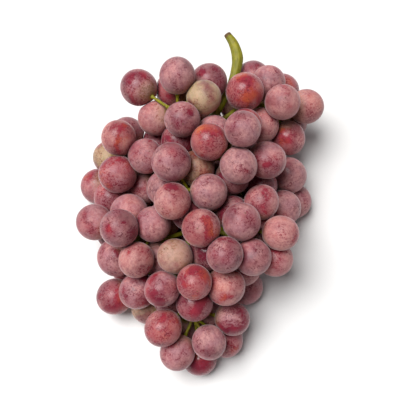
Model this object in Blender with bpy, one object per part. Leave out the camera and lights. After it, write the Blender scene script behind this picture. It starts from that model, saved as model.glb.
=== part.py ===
"""A bunch of large red table grapes, lying on its side.

Metres, +Z up. +Y runs along the main stem towards its cut end, and the bunch lies on Z = 0 with the
middle of its box over the origin. The main stem carries side branches in a spiral, and each side
branch carries its berries on short stalks. A seeded rule lets the berries grow and push one another
aside until they fit, so every berry ends where its own stalk can reach it.

The stems are one fused piece. The berries of each side branch press on one another and are one fused
piece, clear of the berries beside it.
"""

import math
import random

import bmesh
import bpy
import numpy as np
from mathutils import Matrix, Vector

SEED = 33

# Berries
BERRY_RADIUS = 0.0125
BERRY_VARIATION = 0.07            # share of the radius that a berry may differ by
PRESS = 0.0020                    # how far neighbours on one side branch press into one another
TOUCH = 0.0012                    # the same, for the other berries of that branch
CLEARANCE = 0.0009                # room that berries of other side branches, and stems, keep while growing
SINK = 0.0010                     # how far a berry's underside is flattened where it rests
STALK_GAP = 0.0003                # between a stalk's end and the berry it carries

# Main stem
STEM_LENGTH = 0.108
STEM_TOP = (0.012, 0.046)         # X and Z where the first side branch leaves it
STEM_TIP_HEIGHT = 0.031
STEM_SWAY = 0.020
STEM_SPANS = 12
STEM_RADII = (0.0034, 0.0019)
CUT_END = (                       # X, Y, Z from the top of the main stem, and the radius there
    (0.009, 0.016, 0.002, 0.0031),
    (0.016, 0.030, 0.003, 0.0026),
    (0.020, 0.041, 0.003, 0.0036),
    (0.0215, 0.051, 0.003, 0.0042),
    (0.019, 0.061, 0.004, 0.0036),
    (0.014, 0.069, 0.005, 0.0025),
)
CUT_END_ROOM = 0.0004             # more room that berries leave beside the swollen end

# Side branches, in a spiral along the main stem; the last one carries the main stem on to its tip
BRANCHES = 14
BRANCH_RADII = (0.0016, 0.0011)
ROOTS = (0.01, 0.94)              # share of the main stem before the first root, and between first and last
SPIRAL = 137.5                    # degrees from one side branch to the next, and from stalk to stalk
FIRST_TURN = 6
TURN_SPREAD = 9
LEANS = (0.25, -0.22)             # towards the cut end in the first side branch, towards the tip further on
UPRIGHT = 0.2                     # share of the main stem where a side branch leans neither way
ARCH = 0.10                       # rise of a side branch's middle, as a share of its length
LOWEST_POINT = 0.8                # of a side branch as it sprouts, in berry radii
SIDE_GUIDE = (0, 0.31, 1.0)       # any direction that no side branch takes
TIP_REACH = (0.001, -0.022, -0.004)
TIP_BERRIES = 8

# Outline that the side branches grow towards, at the top of the bunch and at its tip
HALF_WIDTHS = (0.080, 0.056)
HALF_HEIGHTS = (0.050, 0.037)
FULL_WIDTH = 0.25                 # share of the bunch that keeps its full width
MARGIN = 1.6                      # from the end of a side branch to the outline, in berry radii

# Berry stalks
BARE = 0.30                       # share of a side branch before its first berry
BERRY_SPACING = 0.0054            # length of side branch for each further berry
FEWEST_BERRIES = 1.9
STALK_RADII = (0.0009, 0.0015)    # where it leaves the branch, and where it meets the berry
STALK_REACH = (0.0040, 0.0105)
STALK_STRETCH = 0.0040            # more that a stalk may reach at the end, where its berry is hemmed in
STALK_START = 0.002               # more than the shortest reach, as it sprouts
STALK_LEAN = 0.45                 # towards the end of the side branch, more so for each stalk along it
END_STALK = (0.25, 0.9)           # across the side branch and along it, for the stalk at its end
STALK_SPREAD = 15
BRANCH_TWIST = 40                 # degrees that each side branch's first stalk is turned from the last one's

# Growth
STEPS = 2200
REFRESH = 20                      # steps between two searches for what touches what
LATE = 0.75                       # share of the steps after which the bunch only settles
START_SIZE = 0.55                 # of a berry, as a share of its full radius
WEIGHT = 0.00004                  # how far a berry sinks in a step
DRAW = 0.0012                     # share of its way to the main stem that a berry moves in a step
SEARCH = 0.006                    # how near a thing has to be to count as a possible contact
HASTE = 1.35                      # share of each correction that is made at once
SMOOTHING = 0.08                  # share of its way to a smooth line that a side branch's point moves
SPRING = 0.004                    # share of its way back to where it sprouted
LOWEST_STEM = 0.004
BRANCH_FREEDOM = 1.0              # how freely a point moves; the main stem has none
BERRY_FREEDOM = 0.5
SPROUT_DECIMALS = 7               # that the points are rounded to, before and after they grow
GROWN_DECIMALS = 6
BOX_DECIMALS = 5
TINY = 1e-9                       # keeps a division away from zero

# Facets and finish
STEM_SIDES = 8
BRANCH_SIDES = 4
STALK_SIDES = 3
SKIN_COLOUR = (0.36, 0.11, 0.12)
SKIN_ROUGHNESS = 0.45
STEM_COLOUR = (0.33, 0.33, 0.06)
STEM_ROUGHNESS = 0.55


def length_of(vectors):
    return np.sqrt(dot(vectors, vectors))


def dot(first, second):
    return first[..., 0] * second[..., 0] + first[..., 1] * second[..., 1] + first[..., 2] * second[..., 2]


def stem_line(share):
    """Points on the main stem, from its first side branch (0) to its tip (1)."""
    x = STEM_TOP[0] * (1 - share) * (1 - share) + STEM_SWAY * share * (1 - share) * (1 - 2 * share)
    z = STEM_TOP[1] + (STEM_TIP_HEIGHT - STEM_TOP[1]) * share * share
    return np.stack([x, -STEM_LENGTH * share, z], -1)


def blend(pair, share):
    return pair[0] + (pair[1] - pair[0]) * share


def plan_branch(number, rng):
    """Root of one side branch and the way it grows, out to the outline of the bunch."""
    share = number / (BRANCHES - 1)
    if number == BRANCHES - 1:
        return stem_line(np.array(1.0)), np.array(TIP_REACH)
    root = stem_line(np.array(ROOTS[0] + ROOTS[1] * share))
    turn = math.radians(FIRST_TURN + SPIRAL * number + rng.uniform(-TURN_SPREAD, TURN_SPREAD))
    width = blend(HALF_WIDTHS, max(0, share - FULL_WIDTH) / (1 - FULL_WIDTH))
    height = blend(HALF_HEIGHTS, share) if math.sin(turn) > 0 else root[2]
    reach = 1 / math.hypot(math.cos(turn) / width, math.sin(turn) / height) - MARGIN * BERRY_RADIUS
    lean = LEANS[0] * (1 - share / UPRIGHT) if share < UPRIGHT else LEANS[1] * (share - UPRIGHT)
    return root, reach * np.array([math.cos(turn), lean, math.sin(turn)])


class Bunch:
    """Points joined by rods, with a berry at the end of each stalk."""

    def __init__(self):
        self.points = []
        self.freedom = []
        self.rods = []                # first point, second point, radius
        self.branches = []            # points of each side branch, root first
        self.stalks = []              # point that carries it, direction, berry radius, branch number
        self.grow_stem()
        rng = random.Random(SEED)
        for number in range(BRANCHES):
            self.grow_branch(number, rng)
        self.first_berry = len(self.points)
        for carrier, way, radius, _ in self.stalks:
            start = self.points[carrier] + way * (radius + STALK_REACH[0] + STALK_START)
            self.add_point(start, BERRY_FREEDOM)
        self.points = np.round(np.array(self.points), SPROUT_DECIMALS)
        self.freedom = np.array(self.freedom)
        self.carrier = np.array([stalk[0] for stalk in self.stalks])
        self.radius = np.array([stalk[2] for stalk in self.stalks])
        self.branch = np.array([stalk[3] for stalk in self.stalks])
        self.count = len(self.radius)
        self.berry = self.first_berry + np.arange(self.count)

    def add_point(self, point, freedom):
        self.points.append(point)
        self.freedom.append(freedom)
        return len(self.points) - 1

    def grow_stem(self):
        shares = [number / STEM_SPANS for number in range(STEM_SPANS + 1)]
        line = [self.add_point(stem_line(np.array(share)), 0.0) for share in shares]
        for number in range(STEM_SPANS):
            self.rods.append((line[number], line[number + 1], STEM_RADII[0]))
        last = line[0]
        self.cut_end = []
        for x, y, z, radius in CUT_END:
            point = self.add_point(self.points[line[0]] + np.array([x, y, z]), 0.0)
            self.rods.append((last, point, radius + CUT_END_ROOM))
            self.cut_end.append(point)
            last = point
        self.stem = line

    def grow_branch(self, number, rng):
        root, reach = plan_branch(number, rng)
        size = float(length_of(reach))
        count = TIP_BERRIES if number == BRANCHES - 1 else int(round(FEWEST_BERRIES + size / BERRY_SPACING))
        along = reach / size
        side = np.cross(along, SIDE_GUIDE)
        side = side / length_of(side)
        other = np.cross(along, side)
        line = [self.add_point(root, 0.0)]
        for place in range(1, count + 1):
            share = blend((BARE, 1), place / count)
            point = root + reach * share
            arched = point[2] + ARCH * size * math.sin(math.pi * share)
            point[2] = max(arched, LOWEST_POINT * BERRY_RADIUS)
            line.append(self.add_point(point, BRANCH_FREEDOM))
            self.rods.append((line[-2], line[-1], BRANCH_RADII[0]))
        self.branches.append(line)
        for place in range(1, count + 1):
            end = place == count
            turn = SPIRAL * (place - 1) + BRANCH_TWIST * number + rng.uniform(-STALK_SPREAD, STALK_SPREAD)
            across = side * math.cos(math.radians(turn)) + other * math.sin(math.radians(turn))
            share = STALK_LEAN * place / count
            way = across * END_STALK[0] + along * END_STALK[1] if end else across + along * share
            radius = BERRY_RADIUS * (1 + BERRY_VARIATION * rng.uniform(-1, 1))
            self.stalks.append((line[place], way / length_of(way), radius, number))

    def find_contacts(self):
        """Berries close to berries, and berries close to stems and to other berries' stalks."""
        centre = self.points[self.first_berry:]
        reach = self.radius[:, None] + self.radius + SEARCH
        ball, other = np.nonzero(np.triu(length_of(centre[:, None] - centre) < reach, 1))
        gap = np.where(self.branch[ball] == self.branch[other], -TOUCH, CLEARANCE)
        gap[self.linked[ball, other]] = -PRESS
        touching = (ball, self.berry[other], self.berry[other], self.radius[other], gap)

        starts = np.array([rod[0] for rod in self.rods] + list(self.carrier))
        ends = np.array([rod[1] for rod in self.rods] + list(self.berry))
        thick = np.array([rod[2] for rod in self.rods] + [STALK_RADII[1]] * self.count)
        rod = self.points[ends] - self.points[starts]
        offset = centre[:, None] - self.points[starts]
        share = np.clip(dot(offset, rod) / np.maximum(dot(rod, rod), TINY), 0, 1)
        near = length_of(offset - share[..., None] * rod) < self.radius[:, None] + thick + SEARCH
        near[np.arange(self.count), len(self.rods) + np.arange(self.count)] = False
        ball, which = np.nonzero(near)
        beside = (ball, starts[which], ends[which], thick[which], np.full(len(ball), CLEARANCE))
        self.contacts = [np.concatenate(pair) for pair in zip(touching, beside)]

    def find_neighbours(self):
        """The shortest set of links that joins all berries of each side branch."""
        centre = self.points[self.first_berry:]
        links = []
        for number in range(BRANCHES):
            waiting = list(np.nonzero(self.branch == number)[0])
            joined = [waiting.pop(0)]
            while waiting:
                _, near, far = min(
                    (length_of(centre[i] - centre[j]), i, j) for i in joined for j in waiting
                )
                links.append((near, far))
                joined.append(far)
                waiting.remove(far)
        self.links = np.array(links)
        self.linked = np.zeros((self.count, self.count), bool)
        self.linked[self.links[:, 0], self.links[:, 1]] = True
        self.linked |= self.linked.T

    def push(self, ball, start, end, share, move, active):
        """Share a correction between a ball and the rod beside it, each by how freely it moves."""
        freedom = self.freedom
        near = freedom[start] * (1 - share)
        far = freedom[end] * share
        total = freedom[ball] + near * (1 - share) + far * share
        total = np.maximum(total, TINY)[:, None]
        np.add.at(self.shift, ball, move * freedom[ball][:, None] / total)
        np.add.at(self.shift, start, -move * near[:, None] / total)
        np.add.at(self.shift, end, -move * far[:, None] / total)
        np.add.at(self.pushes, ball, active)
        np.add.at(self.pushes, start, active * (1 - share))
        np.add.at(self.pushes, end, active * share)

    def keep_apart(self, ease):
        ball, start, end, thick, gap = self.contacts
        point = self.points
        rod = point[end] - point[start]
        offset = point[self.berry[ball]] - point[start]
        share = np.clip(dot(offset, rod) / np.maximum(dot(rod, rod), TINY), 0, 1)
        away = offset - share[:, None] * rod
        distance = np.maximum(length_of(away), TINY)
        other = np.where(start == end, thick * ease, thick)
        short = np.maximum(0, self.radius[ball] * ease + other + gap - distance)
        move = away * (short / distance)[:, None]
        self.push(self.berry[ball], start, end, share, move, (short > 0) * 1.0)

    def keep_on_stalks(self, ease, late):
        away = self.points[self.berry] - self.points[self.carrier]
        distance = np.maximum(length_of(away), TINY)
        size = self.radius * ease
        longest = size + STALK_REACH[1] + (STALK_STRETCH if late else 0)
        wanted = np.clip(distance, size + STALK_REACH[0], longest)
        move = away * ((wanted - distance) / distance)[:, None]
        active = (wanted != distance) * 1.0
        self.push(self.berry, self.carrier, self.carrier, np.zeros(self.count), move, active)

    def keep_together(self, ease):
        near, far = self.links.T
        ball, other = self.berry[near], self.berry[far]
        away = self.points[ball] - self.points[other]
        distance = length_of(away)
        wide = np.maximum(0, distance - (self.radius[near] + self.radius[far]) * ease + PRESS)
        move = away * (-wide / distance)[:, None]
        self.push(ball, other, other, np.zeros(len(near)), move, (wide > 0) * 1.0)

    def relax_branches(self, rest, rod_starts, rod_ends, rod_lengths):
        """Side branches keep their length, stay smooth and spring back a little."""
        rod = self.points[rod_ends] - self.points[rod_starts]
        distance = length_of(rod)
        pull = rod * ((distance - rod_lengths) / distance * 0.5)[:, None]
        move = np.zeros_like(self.points)
        np.add.at(move, rod_starts, pull)
        np.add.at(move, rod_ends, -pull)
        for line in self.branches:
            inner = self.points[line[:-2]] + self.points[line[2:]]
            move[line[1:-1]] += (inner / 2 - self.points[line[1:-1]]) * SMOOTHING
            move[line[1:]] += (rest[line[1:]] - self.points[line[1:]]) * SPRING
        self.points += move * np.where(self.freedom == BRANCH_FREEDOM, 1.0, 0.0)[:, None]

    def settle(self):
        rest = self.points.copy()
        rod_starts = np.array([rod[0] for rod in self.rods])
        rod_ends = np.array([rod[1] for rod in self.rods])
        rod_lengths = length_of(rest[rod_ends] - rest[rod_starts])
        inner_points = np.array([point for line in self.branches for point in line[1:]])
        for step in range(STEPS):
            ease = min(1, START_SIZE + step / STEPS)
            late = step > LATE * STEPS
            if step % REFRESH == 0:
                if not late:
                    self.find_neighbours()
                self.find_contacts()
            self.shift = np.zeros_like(self.points)
            self.pushes = np.zeros(len(self.points))
            self.keep_apart(ease)
            self.keep_on_stalks(ease, late)
            self.keep_together(ease)
            self.points += self.shift / np.maximum(1, self.pushes)[:, None] * HASTE
            self.relax_branches(rest, rod_starts, rod_ends, rod_lengths)
            centre = self.points[self.berry]
            if not late:
                beside = stem_line(np.clip(-centre[:, 1] / STEM_LENGTH, 0, 1))
                centre = centre + (beside - centre) * DRAW
                centre[:, 2] -= WEIGHT
            centre[:, 2] = np.maximum(centre[:, 2], self.radius * ease - SINK)
            self.points[self.berry] = centre
            self.points[inner_points, 2] = np.maximum(self.points[inner_points, 2], LOWEST_STEM)
        self.points = np.round(self.points, GROWN_DECIMALS)

    def centre_on_origin(self):
        """Move the bunch so that the middle of its box is over the origin."""
        centre = self.points[self.berry]
        low = (centre - self.radius[:, None]).min(0)
        high = (centre + self.radius[:, None]).max(0)
        high[1] = max(high[1], self.points[self.cut_end[-1]][1])
        middle = np.round((low + high) / 2, BOX_DECIMALS)
        self.points -= np.array([middle[0], middle[1], 0.0])

    def stalk_ends(self):
        """Where each stalk meets its berry, and the way it points there."""
        way = self.points[self.berry] - self.points[self.carrier]
        way = way / length_of(way)[:, None]
        return self.points[self.berry] - way * (self.radius + STALK_GAP)[:, None], way


def clear_scene():
    for item in list(bpy.data.objects):
        bpy.data.objects.remove(item, do_unlink=True)


def make_material(name, colour, roughness):
    material = bpy.data.materials.new(name)
    material.use_nodes = True
    shader = material.node_tree.nodes["Principled BSDF"]
    shader.inputs["Base Color"].default_value = (*colour, 1.0)
    shader.inputs["Roughness"].default_value = roughness
    shader.inputs["Metallic"].default_value = 0.0
    return material


def object_from(name, form):
    mesh = bpy.data.meshes.new(name)
    form.to_mesh(mesh)
    form.free()
    return bpy.data.objects.new(name, mesh)


def make_ball(name, centre, radius, pole):
    """A berry, with one of its corners where its stalk meets it."""
    turn = Vector(pole).to_track_quat("Z", "Y").to_matrix().to_4x4()
    form = bmesh.new()
    bmesh.ops.create_icosphere(
        form, subdivisions=2, radius=radius, matrix=Matrix.Translation(Vector(centre)) @ turn
    )
    return object_from(name, form)


def make_tube(name, points, radii, sides):
    """A tapering tube through the points, closed at both ends."""
    points = [Vector(point) for point in points]
    form = bmesh.new()
    rings = []
    side = None
    for number, point in enumerate(points):
        before = points[max(number - 1, 0)]
        after = points[min(number + 1, len(points) - 1)]
        along = (after - before).normalized()
        if side is None:
            side = along.orthogonal()
        side = (side - along * side.dot(along)).normalized()
        other = along.cross(side)
        ring = []
        for corner in range(sides):
            turn = 2 * math.pi * corner / sides
            place = point + (side * math.cos(turn) + other * math.sin(turn)) * radii[number]
            ring.append(form.verts.new(place))
        rings.append(ring)
    for first, second in zip(rings, rings[1:]):
        for corner in range(sides):
            after = (corner + 1) % sides
            form.faces.new((first[corner], first[after], second[after], second[corner]))
    form.faces.new(rings[0][::-1])
    form.faces.new(rings[-1])
    return object_from(name, form)


def fuse(name, pieces, material, cutter=None):
    """One solid from many overlapping ones."""
    repeats = bpy.data.collections.new(name + "_repeats")
    bpy.context.scene.collection.children.link(repeats)
    first, rest = pieces[0], pieces[1:]
    bpy.context.scene.collection.objects.link(first)
    for piece in rest:
        repeats.objects.link(piece)
    union = first.modifiers.new("join", "BOOLEAN")
    union.operation = "UNION"
    union.operand_type = "COLLECTION"
    union.collection = repeats
    if cutter is not None:
        flatten = first.modifiers.new("flatten", "BOOLEAN")
        flatten.operation = "DIFFERENCE"
        flatten.object = cutter
    bpy.context.view_layer.update()
    graph = bpy.context.evaluated_depsgraph_get()
    mesh = bpy.data.meshes.new_from_object(first.evaluated_get(graph))
    mesh.name = name
    mesh.materials.clear()
    mesh.materials.append(material)
    for piece in pieces:
        bpy.data.objects.remove(piece, do_unlink=True)
    bpy.data.collections.remove(repeats)
    whole = bpy.data.objects.new(name, mesh)
    bpy.context.scene.collection.objects.link(whole)
    return whole


def make_ground():
    """The cutter that flattens the berries that the bunch rests on."""
    form = bmesh.new()
    bmesh.ops.create_cube(form, size=1.0, matrix=Matrix.Translation((0, 0, -0.5)))
    ground = object_from("ground_cutter", form)
    ground.hide_render = True
    ground.display_type = "WIRE"
    bpy.context.scene.collection.objects.link(ground)
    return ground


def make_stems(bunch, material):
    points = bunch.points
    line = [points[point] for point in bunch.cut_end[::-1] + bunch.stem]
    radii = [row[3] for row in CUT_END[::-1]]
    radii += [blend(STEM_RADII, number / STEM_SPANS) for number in range(STEM_SPANS + 1)]
    pieces = [make_tube("main_stem", line, radii, STEM_SIDES)]
    for number, branch in enumerate(bunch.branches):
        radii = [blend(BRANCH_RADII, place / (len(branch) - 1)) for place in range(len(branch))]
        pieces.append(make_tube(f"branch_{number}", points[branch], radii, BRANCH_SIDES))
    ends, _ = bunch.stalk_ends()
    for number, end in enumerate(ends):
        start = points[bunch.carrier[number]]
        pieces.append(make_tube(f"stalk_{number}", (start, end), STALK_RADII, STALK_SIDES))
    return fuse("stem", pieces, material)


def make_berries(bunch, number, material, ground):
    _, ways = bunch.stalk_ends()
    pieces = []
    for berry in np.nonzero(bunch.branch == number)[0]:
        centre = bunch.points[bunch.berry[berry]]
        pieces.append(make_ball(f"berry_{berry}", centre, bunch.radius[berry], -ways[berry]))
    return fuse(f"berries_{number + 1:02d}", pieces, material, ground)


def main():
    clear_scene()
    bunch = Bunch()
    bunch.settle()
    bunch.centre_on_origin()
    skin = make_material("grape_skin", SKIN_COLOUR, SKIN_ROUGHNESS)
    green = make_material("stem", STEM_COLOUR, STEM_ROUGHNESS)
    ground = make_ground()
    make_stems(bunch, green)
    for number in range(BRANCHES):
        make_berries(bunch, number, skin, ground)


main()
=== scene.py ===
import math
import random

import bmesh
import bpy
import numpy as np
from mathutils import Matrix, Vector
from mathutils.kdtree import KDTree


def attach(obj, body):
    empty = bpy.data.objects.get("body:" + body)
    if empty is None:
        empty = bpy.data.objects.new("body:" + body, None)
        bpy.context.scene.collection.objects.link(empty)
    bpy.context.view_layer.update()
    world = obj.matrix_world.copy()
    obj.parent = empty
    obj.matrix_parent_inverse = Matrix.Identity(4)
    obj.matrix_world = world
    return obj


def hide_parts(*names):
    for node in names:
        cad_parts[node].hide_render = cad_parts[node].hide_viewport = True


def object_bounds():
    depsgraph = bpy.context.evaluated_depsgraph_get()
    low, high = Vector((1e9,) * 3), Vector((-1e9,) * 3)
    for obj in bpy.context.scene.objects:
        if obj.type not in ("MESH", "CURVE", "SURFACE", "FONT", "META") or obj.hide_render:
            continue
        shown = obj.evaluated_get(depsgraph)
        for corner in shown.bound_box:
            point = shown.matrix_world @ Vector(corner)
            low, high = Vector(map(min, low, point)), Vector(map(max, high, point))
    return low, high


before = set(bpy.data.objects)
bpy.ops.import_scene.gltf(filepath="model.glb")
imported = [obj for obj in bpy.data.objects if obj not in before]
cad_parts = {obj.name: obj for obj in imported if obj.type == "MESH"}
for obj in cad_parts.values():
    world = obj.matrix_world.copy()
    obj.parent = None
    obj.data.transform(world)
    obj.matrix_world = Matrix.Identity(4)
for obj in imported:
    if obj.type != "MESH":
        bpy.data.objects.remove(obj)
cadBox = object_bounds()

# How the bunch grows. The solids follow the same rule, so every berry and stem lands on its own solid.

growth = {
    "seed": 33, "steps": 2200, "refresh": 20, "late": 0.75, "search": 0.006, "startSize": 0.55,
    "haste": 1.35, "weight": 0.00004, "draw": 0.0012, "smoothing": 0.08, "spring": 0.004,
    "lowestStem": 0.004, "branchFreedom": 1.0, "berryFreedom": 0.5, "decimals": (7, 6, 5), "tiny": 1e-9,
    "berryRadius": 0.0125, "berryVariation": 0.07, "press": 0.0020, "touch": 0.0012, "clearance": 0.0009,
    "sink": 0.0010,
    "stemLength": 0.108, "stemTop": (0.012, 0.046), "stemTipHeight": 0.031, "stemSway": 0.020,
    "stemSpans": 12, "stemRadii": (0.0034, 0.0019), "cutEndRoom": 0.0004,
    "cutEnd": (
        (0.009, 0.016, 0.002, 0.0031),
        (0.016, 0.030, 0.003, 0.0026),
        (0.020, 0.041, 0.003, 0.0036),
        (0.0215, 0.051, 0.003, 0.0042),
        (0.019, 0.061, 0.004, 0.0036),
        (0.014, 0.069, 0.005, 0.0025),
    ),
    "branches": 14, "branchRadii": (0.0016, 0.0011), "roots": (0.01, 0.94), "spiral": 137.5, "firstTurn": 6,
    "turnSpread": 9, "leans": (0.25, -0.22), "upright": 0.2, "arch": 0.10, "lowestPoint": 0.8,
    "sideGuide": (0, 0.31, 1.0), "tipReach": (0.001, -0.022, -0.004), "tipBerries": 8,
    "halfWidths": (0.080, 0.056), "halfHeights": (0.050, 0.037), "fullWidth": 0.25, "margin": 1.6,
    "bare": 0.30, "berrySpacing": 0.0054, "fewestBerries": 1.9,
    "stalkRadii": (0.0009, 0.0015), "stalkReach": (0.0040, 0.0105), "stalkStretch": 0.0040,
    "stalkStart": 0.002, "stalkLean": 0.45, "endStalk": (0.25, 0.9), "stalkSpread": 15, "branchTwist": 40,
}
root = "root"


def dotOf(first, second):
    return first[..., 0] * second[..., 0] + first[..., 1] * second[..., 1] + first[..., 2] * second[..., 2]


def lengthOf(vectors):
    return np.sqrt(dotOf(vectors, vectors))


def blendPair(pair, share):
    return pair[0] + (pair[1] - pair[0]) * share


def stemLine(share):  # 0 at the first side branch, 1 at the tip
    g = growth
    x = g["stemTop"][0] * (1 - share) * (1 - share) + g["stemSway"] * share * (1 - share) * (1 - 2 * share)
    z = g["stemTop"][1] + (g["stemTipHeight"] - g["stemTop"][1]) * share * share
    return np.stack([x, -g["stemLength"] * share, z], -1)


def planBranch(number, rng):  # root of a side branch, and the way it grows
    g = growth
    share = number / (g["branches"] - 1)
    if number == g["branches"] - 1:
        return stemLine(np.array(1.0)), np.array(g["tipReach"])
    start = stemLine(np.array(g["roots"][0] + g["roots"][1] * share))
    spread = rng.uniform(-g["turnSpread"], g["turnSpread"])
    turn = math.radians(g["firstTurn"] + g["spiral"] * number + spread)
    width = blendPair(g["halfWidths"], max(0, share - g["fullWidth"]) / (1 - g["fullWidth"]))
    height = blendPair(g["halfHeights"], share) if math.sin(turn) > 0 else start[2]
    outline = 1 / math.hypot(math.cos(turn) / width, math.sin(turn) / height)
    reach = outline - g["margin"] * g["berryRadius"]
    early, further = g["leans"]
    lean = early * (1 - share / g["upright"]) if share < g["upright"] else further * (share - g["upright"])
    return start, reach * np.array([math.cos(turn), lean, math.sin(turn)])


class Vine:  # points joined by rods, with a berry at the end of each stalk

    def __init__(self):
        g = growth
        self.points, self.freedom, self.rods, self.branches, self.stalks = [], [], [], [], []
        self.growStem()
        rng = random.Random(g["seed"])
        for number in range(g["branches"]):
            self.growBranch(number, rng)
        firstBerry = len(self.points)
        for carrier, way, radius, branch in self.stalks:
            sprout = self.points[carrier] + way * (radius + g["stalkReach"][0] + g["stalkStart"])
            self.addPoint(sprout, g["berryFreedom"])
        self.points = np.round(np.array(self.points), g["decimals"][0])
        self.freedom = np.array(self.freedom)
        self.carrier = np.array([stalk[0] for stalk in self.stalks])
        self.radius = np.array([stalk[2] for stalk in self.stalks])
        self.branch = np.array([stalk[3] for stalk in self.stalks])
        self.count = len(self.radius)
        self.berry = firstBerry + np.arange(self.count)

    def addPoint(self, point, freedom):
        self.points.append(point)
        self.freedom.append(freedom)
        return len(self.points) - 1

    def growStem(self):
        g = growth
        shares = [number / g["stemSpans"] for number in range(g["stemSpans"] + 1)]
        self.stem = [self.addPoint(stemLine(np.array(share)), 0.0) for share in shares]
        for first, second in zip(self.stem, self.stem[1:]):
            self.rods.append((first, second, g["stemRadii"][0]))
        last = self.stem[0]
        self.cutEnd = []
        for x, y, z, radius in g["cutEnd"]:
            point = self.addPoint(self.points[self.stem[0]] + np.array([x, y, z]), 0.0)
            self.rods.append((last, point, radius + g["cutEndRoom"]))
            self.cutEnd.append(point)
            last = point

    def growBranch(self, number, rng):
        g = growth
        start, reach = planBranch(number, rng)
        size = float(lengthOf(reach))
        last = number == g["branches"] - 1
        count = g["tipBerries"] if last else int(round(g["fewestBerries"] + size / g["berrySpacing"]))
        along = reach / size
        side = np.cross(along, g["sideGuide"])
        side = side / lengthOf(side)
        other = np.cross(along, side)
        line = [self.addPoint(start, 0.0)]
        for place in range(1, count + 1):
            share = blendPair((g["bare"], 1), place / count)
            point = start + reach * share
            arched = point[2] + g["arch"] * size * math.sin(math.pi * share)
            point[2] = max(arched, g["lowestPoint"] * g["berryRadius"])
            line.append(self.addPoint(point, g["branchFreedom"]))
            self.rods.append((line[-2], line[-1], g["branchRadii"][0]))
        self.branches.append(line)
        for place in range(1, count + 1):
            spread = rng.uniform(-g["stalkSpread"], g["stalkSpread"])
            turn = math.radians(g["spiral"] * (place - 1) + g["branchTwist"] * number + spread)
            across = side * math.cos(turn) + other * math.sin(turn)
            if place == count:
                way = across * g["endStalk"][0] + along * g["endStalk"][1]
            else:
                way = across + along * (g["stalkLean"] * place / count)
            radius = g["berryRadius"] * (1 + g["berryVariation"] * rng.uniform(-1, 1))
            self.stalks.append((line[place], way / lengthOf(way), radius, number))

    def findContacts(self):
        g = growth
        centre = self.points[self.berry]
        reach = self.radius[:, None] + self.radius + g["search"]
        ball, other = np.nonzero(np.triu(lengthOf(centre[:, None] - centre) < reach, 1))
        gap = np.where(self.branch[ball] == self.branch[other], -g["touch"], g["clearance"])
        gap[self.linked[ball, other]] = -g["press"]
        touching = (ball, self.berry[other], self.berry[other], self.radius[other], gap)
        starts = np.array([rod[0] for rod in self.rods] + list(self.carrier))
        ends = np.array([rod[1] for rod in self.rods] + list(self.berry))
        thick = np.array([rod[2] for rod in self.rods] + [g["stalkRadii"][1]] * self.count)
        rod = self.points[ends] - self.points[starts]
        offset = centre[:, None] - self.points[starts]
        share = np.clip(dotOf(offset, rod) / np.maximum(dotOf(rod, rod), growth["tiny"]), 0, 1)
        near = lengthOf(offset - share[..., None] * rod) < self.radius[:, None] + thick + g["search"]
        near[np.arange(self.count), len(self.rods) + np.arange(self.count)] = False
        ball, which = np.nonzero(near)
        beside = (ball, starts[which], ends[which], thick[which], np.full(len(ball), g["clearance"]))
        self.contacts = [np.concatenate(pair) for pair in zip(touching, beside)]

    def findNeighbours(self):  # the shortest links that join all berries of each side branch
        centre = self.points[self.berry]
        links = []
        for number in range(growth["branches"]):
            waiting = list(np.nonzero(self.branch == number)[0])
            joined = [waiting.pop(0)]
            while waiting:
                near, far = min((lengthOf(centre[i] - centre[j]), i, j) for i in joined for j in waiting)[1:]
                links.append((near, far))
                joined.append(far)
                waiting.remove(far)
        self.links = np.array(links)
        self.linked = np.zeros((self.count, self.count), bool)
        self.linked[self.links[:, 0], self.links[:, 1]] = True
        self.linked |= self.linked.T

    def push(self, ball, start, end, share, move, active):  # each gives way by how freely it moves
        freedom = self.freedom
        near = freedom[start] * (1 - share)
        far = freedom[end] * share
        total = freedom[ball] + near * (1 - share) + far * share
        total = np.maximum(total, growth["tiny"])[:, None]
        np.add.at(self.shift, ball, move * freedom[ball][:, None] / total)
        np.add.at(self.shift, start, -move * near[:, None] / total)
        np.add.at(self.shift, end, -move * far[:, None] / total)
        np.add.at(self.pushes, ball, active)
        np.add.at(self.pushes, start, active * (1 - share))
        np.add.at(self.pushes, end, active * share)

    def keepApart(self, ease):
        ball, start, end, thick, gap = self.contacts
        point = self.points
        rod = point[end] - point[start]
        offset = point[self.berry[ball]] - point[start]
        share = np.clip(dotOf(offset, rod) / np.maximum(dotOf(rod, rod), growth["tiny"]), 0, 1)
        away = offset - share[:, None] * rod
        distance = np.maximum(lengthOf(away), growth["tiny"])
        other = np.where(start == end, thick * ease, thick)
        short = np.maximum(0, self.radius[ball] * ease + other + gap - distance)
        move = away * (short / distance)[:, None]
        self.push(self.berry[ball], start, end, share, move, (short > 0) * 1.0)

    def keepOnStalks(self, ease, late):
        away = self.points[self.berry] - self.points[self.carrier]
        distance = np.maximum(lengthOf(away), growth["tiny"])
        size = self.radius * ease
        longest = size + growth["stalkReach"][1] + (growth["stalkStretch"] if late else 0)
        wanted = np.clip(distance, size + growth["stalkReach"][0], longest)
        move = away * ((wanted - distance) / distance)[:, None]
        active = (wanted != distance) * 1.0
        self.push(self.berry, self.carrier, self.carrier, np.zeros(self.count), move, active)

    def keepTogether(self, ease):
        near, far = self.links.T
        ball, other = self.berry[near], self.berry[far]
        away = self.points[ball] - self.points[other]
        distance = lengthOf(away)
        wide = np.maximum(0, distance - (self.radius[near] + self.radius[far]) * ease + growth["press"])
        move = away * (-wide / distance)[:, None]
        self.push(ball, other, other, np.zeros(len(near)), move, (wide > 0) * 1.0)

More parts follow.
